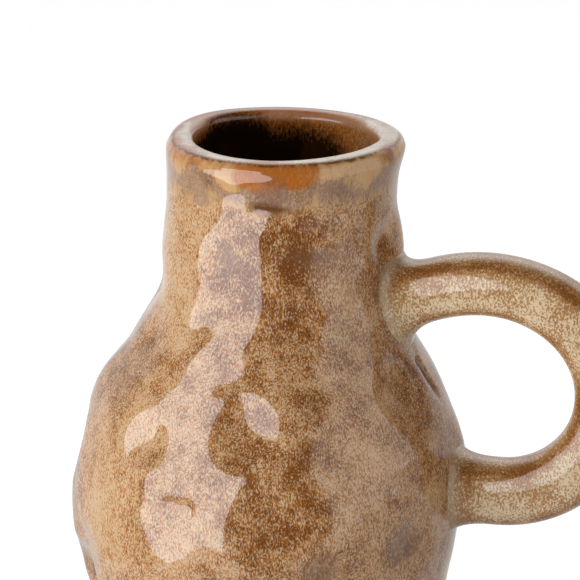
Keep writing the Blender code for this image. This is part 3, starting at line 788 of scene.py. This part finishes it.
def cloudiness(angle, height):
    """How much browner, or milkier below zero, the glaze is at one place."""
    tone = 0.0
    for cloud in CLOUDS:
        turn = math.remainder(angle - math.radians(cloud.angle), 2 * math.pi)
        away = math.hypot(turn * smooth_outline(cloud.height), height - cloud.height) / cloud.radius
        if away < 1:
            tone += cloud.tone * (1 - away * away)
    return tone


def lean(height, sizes):
    """How far the jug's axis has moved towards the handle at a height."""
    share = (height - BELLY_LEVEL) / (TOP - BELLY_LEVEL)
    return sizes.lean * max(share, 0.0) ** LEAN_POWER


def hand_work(point, sizes):
    """Small hollows and swellings left by hands at one place of the wall."""
    return sizes.unevenness * noise.noise(point / sizes.uneven_width)


def wall_x(across, height, sizes):
    """X of the outside of the wall at a distance across from the handle's plane."""
    radius = outline(height)
    angle = math.asin(clamped(across / radius, -1.0))
    radius -= pressed(angle, height)[0]
    return lean(height, sizes) + math.sqrt(max(radius * radius - across * across, 0.0))


def wall_thickness(height, sizes):
    """Thickness of the wall at a height: it swells into the lip."""
    share = (height - JOINTS[RIM]) / (RIM_HEIGHT - sizes.lip_inner_round)
    return sizes.wall + sizes.lip_swell * clamped(share)


def steps_between(start, end, spacing):
    """Values from start to end, both included, no further apart than the spacing."""
    count = max(1, math.ceil(abs(end - start) / spacing))
    return [start + (end - start) * k / count for k in range(count + 1)]


def corner(radius, height, round_by, start_angle):
    """Points of a quarter round, turning to the left from the start angle, in degrees."""
    points = []
    for k in range(CORNER_STEPS + 1):
        angle = math.radians(start_angle + 90 * k / CORNER_STEPS)
        points.append((radius + round_by * math.cos(angle), height + round_by * math.sin(angle)))
    return points


def wall_profile(sizes):
    """Section of the glazed wall and of the glaze over the slab, from the axis round to the axis."""
    bed = JOINTS[FOOT] + SLIP_GAP
    slab_level = SLAB_TOP + SLIP_GAP
    floor_level = slab_level + 2 * SLIP_GAP
    floor_round = sizes.lip_inner_round
    inner = outline(floor_level) - sizes.wall
    points = [(0.0, slab_level), (inner / 2, slab_level), (inner, slab_level)]
    side = steps_between(bed, TOP - sizes.lip_outer_round, OUTER_SPACING)
    points += [(outline(height), height) for height in side]
    top = outline(TOP)
    lip = corner(top - sizes.lip_outer_round, TOP - sizes.lip_outer_round, sizes.lip_outer_round, 0)[1:]
    lip_start = len(points)
    points += lip
    inner_round = sizes.lip_inner_round
    lip_wall = sizes.wall + sizes.lip_swell
    points += corner(top - lip_wall + inner_round, TOP - inner_round, inner_round, 90)
    inside = steps_between(TOP - inner_round, floor_level + floor_round, INNER_SPACING)[1:]
    points += [(outline(height) - wall_thickness(height, sizes), height) for height in inside]
    floor_edge = outline(floor_level + floor_round) - sizes.wall - floor_round
    inset = floor_round * FLOOR_CORNER
    points += [(floor_edge + inset, floor_level + inset), (floor_edge, floor_level)]
    points += [(floor_edge / 2, floor_level), (0.0, floor_level)]
    return points, lip_start + CORNER_STEPS // 2


def shape_wall(bm, sizes):
    """Press thumbs into the turned wall, more on the outside than inside, wave the lip and lean it."""
    stain_layer = bm.verts.layers.float["stain"]
    tone_layer = bm.verts.layers.float["tone"]
    for vert in bm.verts:
        x, y, height = vert.co
        radius = math.hypot(x, y)
        if radius > MERGE_DISTANCE:
            angle = math.atan2(y, x)
            outer = outline(height)
            inwards = clamped((outer - radius) / sizes.wall)
            depth, stain = pressed(angle, height)
            hollow = depth + hand_work(vert.co, sizes)
            pushed = hollow * (1 - (1 - INNER_SHARE) * inwards) * min(radius / (outer - sizes.wall), 1.0)
            vert.co.x -= pushed * x / radius
            vert.co.y -= pushed * y / radius
            vert[stain_layer] = stain
            vert[tone_layer] = cloudiness(angle, height)
            share = max((height - JOINTS[RIM]) / RIM_HEIGHT, 0.0)
            wave = math.sin(sizes.lip_wave_count * angle + sizes.lip_wave_start)
            vert.co.z += sizes.lip_wave * share * share * wave
        vert.co.x += lean(height, sizes)


def spin_profile(points, places, segments):
    """Spin a section about Z. Each point keeps its place along the section."""
    bm = bmesh.new()
    from_lip = bm.verts.layers.float.new("from_lip")
    bm.verts.layers.float.new("stain")
    bm.verts.layers.float.new("tone")
    verts = []
    for (radius, height), place in zip(points, places):
        vert = bm.verts.new((radius, 0, height))
        vert[from_lip] = place
        verts.append(vert)
    edges = [bm.edges.new(pair) for pair in zip(verts, verts[1:])]
    bmesh.ops.spin(
        bm,
        geom=verts + edges,
        cent=(0, 0, 0),
        axis=(0, 0, 1),
        angle=2 * math.pi,
        steps=segments,
        use_merge=True,
    )
    bmesh.ops.remove_doubles(bm, verts=bm.verts, dist=MERGE_DISTANCE)
    bmesh.ops.recalc_face_normals(bm, faces=bm.faces)
    return bm


def place_piece(name, bm, material, nodes):
    """Make an object of a mesh, shaded smooth, that stands for CAD nodes."""
    mesh = bpy.data.meshes.new(name)
    bm.to_mesh(mesh)
    bm.free()
    mesh.shade_smooth()
    mesh.materials.append(material)
    piece = bpy.data.objects.new(name, mesh)
    bpy.context.scene.collection.objects.link(piece)
    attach(piece, BODY)
    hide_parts(*nodes)


def path_lengths(points):
    """Length along a section from its first point to each point."""
    lengths = [0.0]
    for (r0, z0), (r1, z1) in zip(points, points[1:]):
        lengths.append(lengths[-1] + math.hypot(r1 - r0, z1 - z0))
    return lengths


class JUG_OT_glazed_body(Operator):
    """Model the glazed wall as one skin from the foot over the lip to the floor inside"""

    bl_idname = "jug.glazed_body"
    bl_label = "Glazed body"

    def execute(self, context):
        sizes = context.scene.jug_sizes
        points, lip_index = wall_profile(sizes)
        lengths = path_lengths(points)
        places = [length - lengths[lip_index] for length in lengths]
        bm = spin_profile(points, places, WALL_SEGMENTS)
        shape_wall(bm, sizes)
        material = wall_glaze(context.scene.glaze_colours)
        place_piece("glazed_body", bm, material, WALL_NODES)
        return {"FINISHED"}


def loop_levels():
    """Heights of the handle's centre line: upper end, top of the loop and lower arm."""
    upper_root = JOINTS[LOWER_NECK] + UPPER_ROOT_HEIGHT
    lower_arm = JOINTS[BELLY] + LOWER_ROOT_HEIGHT
    return upper_root, upper_root + UPPER_ARM_RISE, lower_arm


def upper_arm_point(t, start, end):
    """Point of the upper arm: it leaves the wall rising and levels out at the top of the loop."""
    run = end.x - start.x
    first = start + Vector((run / 3, 0, (end.z - start.z) * UPPER_ARM_SPRING))
    second = end - Vector((run / 3, 0, 0))
    s = 1 - t
    return start * s**3 + first * (3 * s * s * t) + second * (3 * s * t * t) + end * t**3


class HandlePath:
    """Centre line of the handle, from inside the upper wall to inside the lower wall."""

    def __init__(self, sizes):
        self.sizes = sizes
        upper_root, crest, lower_arm = loop_levels()
        self.rise = (crest - lower_arm) / 2
        self.swing = self.rise * sizes.loop_stretch
        self.outermost = Vector((sizes.handle_reach, 0, lower_arm + self.rise))
        self.start = Vector((wall_x(0.0, upper_root, sizes) - sizes.wall / 2, 0, upper_root))
        self.crest = Vector((sizes.handle_reach - self.swing, 0, crest))
        self.lower = Vector((sizes.handle_reach - self.rise, 0, lower_arm))
        self.end = Vector((wall_x(0.0, lower_arm, sizes) - sizes.wall / 2, 0, lower_arm))
        self.upper_run = (self.crest - self.start).length
        self.loop_run = math.pi * (self.rise + self.swing) / 2
        self.lower_run = (self.lower - self.end).length
        self.length = self.upper_run + self.loop_run + self.lower_run

    def at(self, distance):
        """Point of the centre line and thickness of the strap at a distance from its start."""
        sizes = self.sizes
        if distance < self.upper_run:
            return upper_arm_point(distance / self.upper_run, self.start, self.crest), sizes.upper_thickness
        distance -= self.upper_run
        if distance < self.loop_run:
            angle = math.pi * (0.5 - distance / self.loop_run)
            arm = sizes.upper_thickness if angle > 0 else sizes.lower_thickness
            thickness = arm + (sizes.bend_thickness - arm) * math.cos(angle) ** 2
            swing = self.swing if angle > 0 else self.rise
            loop = Vector((swing * (math.cos(angle) - 1), 0, self.rise * math.sin(angle)))
            return self.outermost + loop, thickness
        share = (distance - self.loop_run) / self.lower_run
        return self.lower.lerp(self.end, min(share, 1.0)), sizes.lower_thickness


def sweep_handle(path, sizes):
    """Strap along the path, its ends spread on the wall. Attributes mark its edges, ends and top."""
    bm = bmesh.new()
    edge_layer = bm.verts.layers.float.new("edge")
    joint_layer = bm.verts.layers.float.new("joint")
    upper_layer = bm.verts.layers.float.new("upper")
    bmesh.ops.create_grid(bm, x_segments=HANDLE_STEPS, y_segments=HANDLE_SIDES, size=1.0)
    across = Vector((0, 1, 0))
    power = 2 / sizes.squareness
    nudge = path.length / HANDLE_STEPS / 4
    root_depth = sizes.wall / 2
    for vert in bm.verts:
        distance = (vert.co.x + 1) / 2 * path.length
        angle = (vert.co.y + 1) * math.pi
        centre, thickness = path.at(distance)
        before, _ = path.at(max(distance - nudge, 0.0))
        after, _ = path.at(min(distance + nudge, path.length))
        along = (after - before).normalized()
        from_wall = min(distance, path.length - distance) - root_depth
        reach = clamped(1 - from_wall / sizes.luting_reach)
        spread = sizes.upper_spread if distance < path.length / 2 else sizes.lower_spread
        grow = spread * (1 - math.sqrt(1 - reach * reach))
        conform = clamped(1 - from_wall / sizes.root_blend)
        upwards = across.cross(along)
        if conform > 0:
            upwards = upwards.lerp(Vector((0, 0, -1 / along.x)), conform)
        c, s = math.cos(angle), math.sin(angle)
        lift = (thickness / 2 + grow) * math.copysign(abs(c) ** power, c)
        side = (sizes.handle_width / 2 + grow) * math.copysign(abs(s) ** power, s)
        point = centre + upwards * lift + across * side
        shift = wall_x(point.y, point.z, sizes) - wall_x(0.0, centre.z, sizes)
        point.x += conform * shift
        vert.co = point
        corner_share = min(abs(c), abs(s)) * math.sqrt(2)
        vert[edge_layer] = max(corner_share - EDGE_START, 0.0) / (1 - EDGE_START) * (1 - reach)
        vert[upper_layer] = upwards.z * c
        vert[joint_layer] = reach
    bmesh.ops.remove_doubles(bm, verts=bm.verts, dist=MERGE_DISTANCE)
    rims = [edge for edge in bm.edges if edge.is_boundary]
    bmesh.ops.edgeloop_fill(bm, edges=rims)
    bmesh.ops.recalc_face_normals(bm, faces=bm.faces)
    return bm


class JUG_OT_glazed_handle(Operator):
    """Model the looped handle with its ends worked onto the wall"""

    bl_idname = "jug.glazed_handle"
    bl_label = "Glazed handle"

    def execute(self, context):
        sizes = context.scene.jug_sizes
        bm = sweep_handle(HandlePath(sizes), sizes)
        material = handle_glaze(context.scene.glaze_colours)
        place_piece("glazed_handle", bm, material, HANDLE_NODES)
        return {"FINISHED"}


class JUG_OT_unglazed_foot(Operator):
    """Model the bare clay disc that the jug stands on"""

    bl_idname = "jug.unglazed_foot"
    bl_label = "Unglazed foot"

    def execute(self, context):
        sizes = context.scene.jug_sizes
        points = [(0.0, 0.0), (BASE_RADIUS / 2, 0.0)]
        points += corner(BASE_RADIUS - sizes.foot_round, sizes.foot_round, sizes.foot_round, -90)
        points.append((outline(JOINTS[FOOT]), JOINTS[FOOT]))
        points.append((outline(SLAB_TOP) - sizes.wall, SLAB_TOP))
        points.append((0.0, SLAB_TOP))
        bm = spin_profile(points, path_lengths(points), FOOT_SEGMENTS)
        shape_wall(bm, sizes)
        material = bare_clay(context.scene.glaze_colours)
        place_piece("unglazed_foot", bm, material, ("base_slab",))
        return {"FINISHED"}


def camera_frame():
    """Directions to the right of the camera and away from it, level with the floor."""
    turn = math.radians(PHOTO_TURN)
    return Vector((math.cos(turn), math.sin(turn), 0)), Vector((-math.sin(turn), math.cos(turn), 0))


def add_camera():
    """Camera at the photograph's viewpoint."""
    right, forward = camera_frame()
    camera = bpy.data.cameras.new("photo_camera")
    camera.sensor_width = CAMERA_SENSOR
    camera.lens = CAMERA_LENS
    holder = bpy.data.objects.new("photo_camera", camera)
    holder.location = right * CAMERA_RIGHT - forward * CAMERA_BACK + Vector((0, 0, CAMERA_HEIGHT))
    holder.rotation_euler = (
        math.radians(90 - CAMERA_PITCH),
        0,
        math.radians(PHOTO_TURN - CAMERA_YAW),
    )
    bpy.context.scene.collection.objects.link(holder)
    bpy.context.scene.camera = holder


def add_panel(panel, brightness):
    """Area light facing the jug's axis."""
    right, forward = camera_frame()
    turn = math.radians(panel.azimuth)
    outwards = right * math.sin(turn) - forward * math.cos(turn)
    height = panel.top - panel.bottom
    light = bpy.data.lights.new(panel.name, "AREA")
    light.shape = panel.shape
    light.size = panel.width
    light.size_y = height
    light.energy = PANEL_POWER * brightness * panel.width * height
    light.color = panel.colour
    if panel.softness:
        soften_panel(light, panel.softness)
    holder = bpy.data.objects.new(panel.name, light)
    holder.location = outwards * panel.distance + Vector((0, 0, (panel.bottom + panel.top) / 2))
    holder.rotation_euler = outwards.to_track_quat("Z", "Y").to_euler()
    holder.visible_camera = False
    bpy.context.scene.collection.objects.link(holder)


def soften_panel(light, softness):
    """Let a panel fade towards its edges, over a share of its width and height."""
    light.use_nodes = True
    tree = light.node_tree
    tree.nodes.clear()
    place = Wire(tree.nodes.new("ShaderNodeNewGeometry").outputs["Parametric"])
    parts = make_node(tree, "ShaderNodeSeparateXYZ", {}, {0: place})
    strength = 1.0
    for axis in (0, 1):
        from_middle = abs(Wire(parts.outputs[axis]) - 0.5)
        strength = strength * from_middle.step(0.5, 0.5 - softness)
    emission = make_node(tree, "ShaderNodeEmission", {}, {"Strength": strength})
    output = tree.nodes.new("ShaderNodeOutputLight")
    tree.links.new(emission.outputs[0], output.inputs["Surface"])


def add_world(studio):
    """White room for the camera, dim in front of the jug and white behind it for the light."""
    world = bpy.data.worlds.new("studio")
    bpy.context.scene.world = world
    world.use_nodes = True
    tree = world.node_tree
    tree.nodes.clear()
    direction = Wire(tree.nodes.new("ShaderNodeTexCoord").outputs["Generated"])
    _, forward = camera_frame()
    behind = direction.dot(forward).step(BEHIND_START, BEHIND_FULL)
    high = direction.dot((0, 0, 1)).step(HIGH_START, HIGH_FULL) * studio.high_white
    room = behind * (high + studio.back_white - studio.front_dim) + studio.front_dim
    seen = direction.add("ShaderNodeLightPath", {}, {}, "Is Camera Ray")
    strength = seen + (1 - seen) * room
    background = make_node(
        tree,
        "ShaderNodeBackground",
        {},
        {"Color": (1.0, 1.0, 1.0), "Strength": strength},
    )
    output = tree.nodes.new("ShaderNodeOutputWorld")
    tree.links.new(background.outputs[0], output.inputs["Surface"])


def floor_finish():
    """White floor that stays white in the picture, glows less in reflections and keeps the jug's shadow."""
    material, shader, place = new_material("studio_floor")
    seen = place.add("ShaderNodeLightPath", {}, {}, "Is Camera Ray")
    glossy = place.add("ShaderNodeLightPath", {}, {}, "Is Glossy Ray")
    mask = seen.larger(glossy * FLOOR_MIRRORED)
    glow = mask.blend((FLOOR_GLOW, FLOOR_GLOW, FLOOR_GLOW), (0.0, 0.0, 0.0))
    shader.id_data.links.new(glow.socket, shader.inputs["Emission Color"])
    shader.inputs["Emission Strength"].default_value = 1.0
    shader.inputs["Base Color"].default_value = (FLOOR_SHADE, FLOOR_SHADE, FLOOR_SHADE, 1.0)
    shader.inputs["Roughness"].default_value = 1.0
    shader.inputs["Specular IOR Level"].default_value = 0.0
    return material


def add_floor():
    """Level sheet under the jug, turned with the camera."""
    right, forward = camera_frame()
    bm = bmesh.new()
    bmesh.ops.create_grid(bm, x_segments=1, y_segments=1, size=0.5)
    for vert in bm.verts:
        u, v = vert.co.x + 0.5, vert.co.y + 0.5
        along = FLOOR_LEFT + (FLOOR_RIGHT - FLOOR_LEFT) * u
        away = FLOOR_FRONT + (FLOOR_BACK - FLOOR_FRONT) * v
        vert.co = right * along + forward * away
    mesh = bpy.data.meshes.new("studio_floor")
    bm.to_mesh(mesh)
    bm.free()
    mesh.materials.append(floor_finish())
    floor = bpy.data.objects.new("studio_floor", mesh)
    bpy.context.scene.collection.objects.link(floor)


class JUG_OT_studio(Operator):
    """Set up the camera, the floor, the two light panels and the room"""

    bl_idname = "jug.studio"
    bl_label = "Studio"

    def execute(self, context):
        studio = context.scene.jug_studio
        context.scene.view_settings.view_transform = "Standard"
        add_camera()
        add_floor()
        add_world(studio)
        add_panel(LEFT_PANEL, studio.left_light)
        add_panel(RIGHT_PANEL, studio.right_light)
        return {"FINISHED"}


class JUG_PT_panel(Panel):
    """Buttons and settings of the jug"""

    bl_idname = "JUG_PT_panel"
    bl_label = "Stoneware Jug"
    bl_space_type = "VIEW_3D"
    bl_region_type = "UI"
    bl_category = "Jug"

    def draw(self, context):
        layout = self.layout
        for operator in OPERATORS:
            layout.operator(operator.bl_idname)
        for group in (context.scene.jug_sizes, context.scene.glaze_colours, context.scene.jug_studio):
            for name in group.bl_rna.properties.keys():
                if name not in ("rna_type", "name"):
                    layout.prop(group, name)


OPERATORS = (JUG_OT_unglazed_foot, JUG_OT_glazed_body, JUG_OT_glazed_handle, JUG_OT_studio)
GROUPS = (JugSizes, GlazeColours, StudioSettings)


def register():
    """Add the classes and their settings to Blender."""
    for item in GROUPS + OPERATORS + (JUG_PT_panel,):
        bpy.utils.register_class(item)
    bpy.types.Scene.jug_sizes = PointerProperty(type=JugSizes)
    bpy.types.Scene.glaze_colours = PointerProperty(type=GlazeColours)
    bpy.types.Scene.jug_studio = PointerProperty(type=StudioSettings)


def unregister():
    """Take them away again."""
    del bpy.types.Scene.jug_studio
    del bpy.types.Scene.glaze_colours
    del bpy.types.Scene.jug_sizes
    for item in reversed(GROUPS + OPERATORS + (JUG_PT_panel,)):
        bpy.utils.unregister_class(item)


def main():
    """Build the jug and its studio."""
    register()
    bpy.ops.jug.unglazed_foot()
    bpy.ops.jug.glazed_body()
    bpy.ops.jug.glazed_handle()
    bpy.ops.jug.studio()


if __name__ == "__main__":
    main()
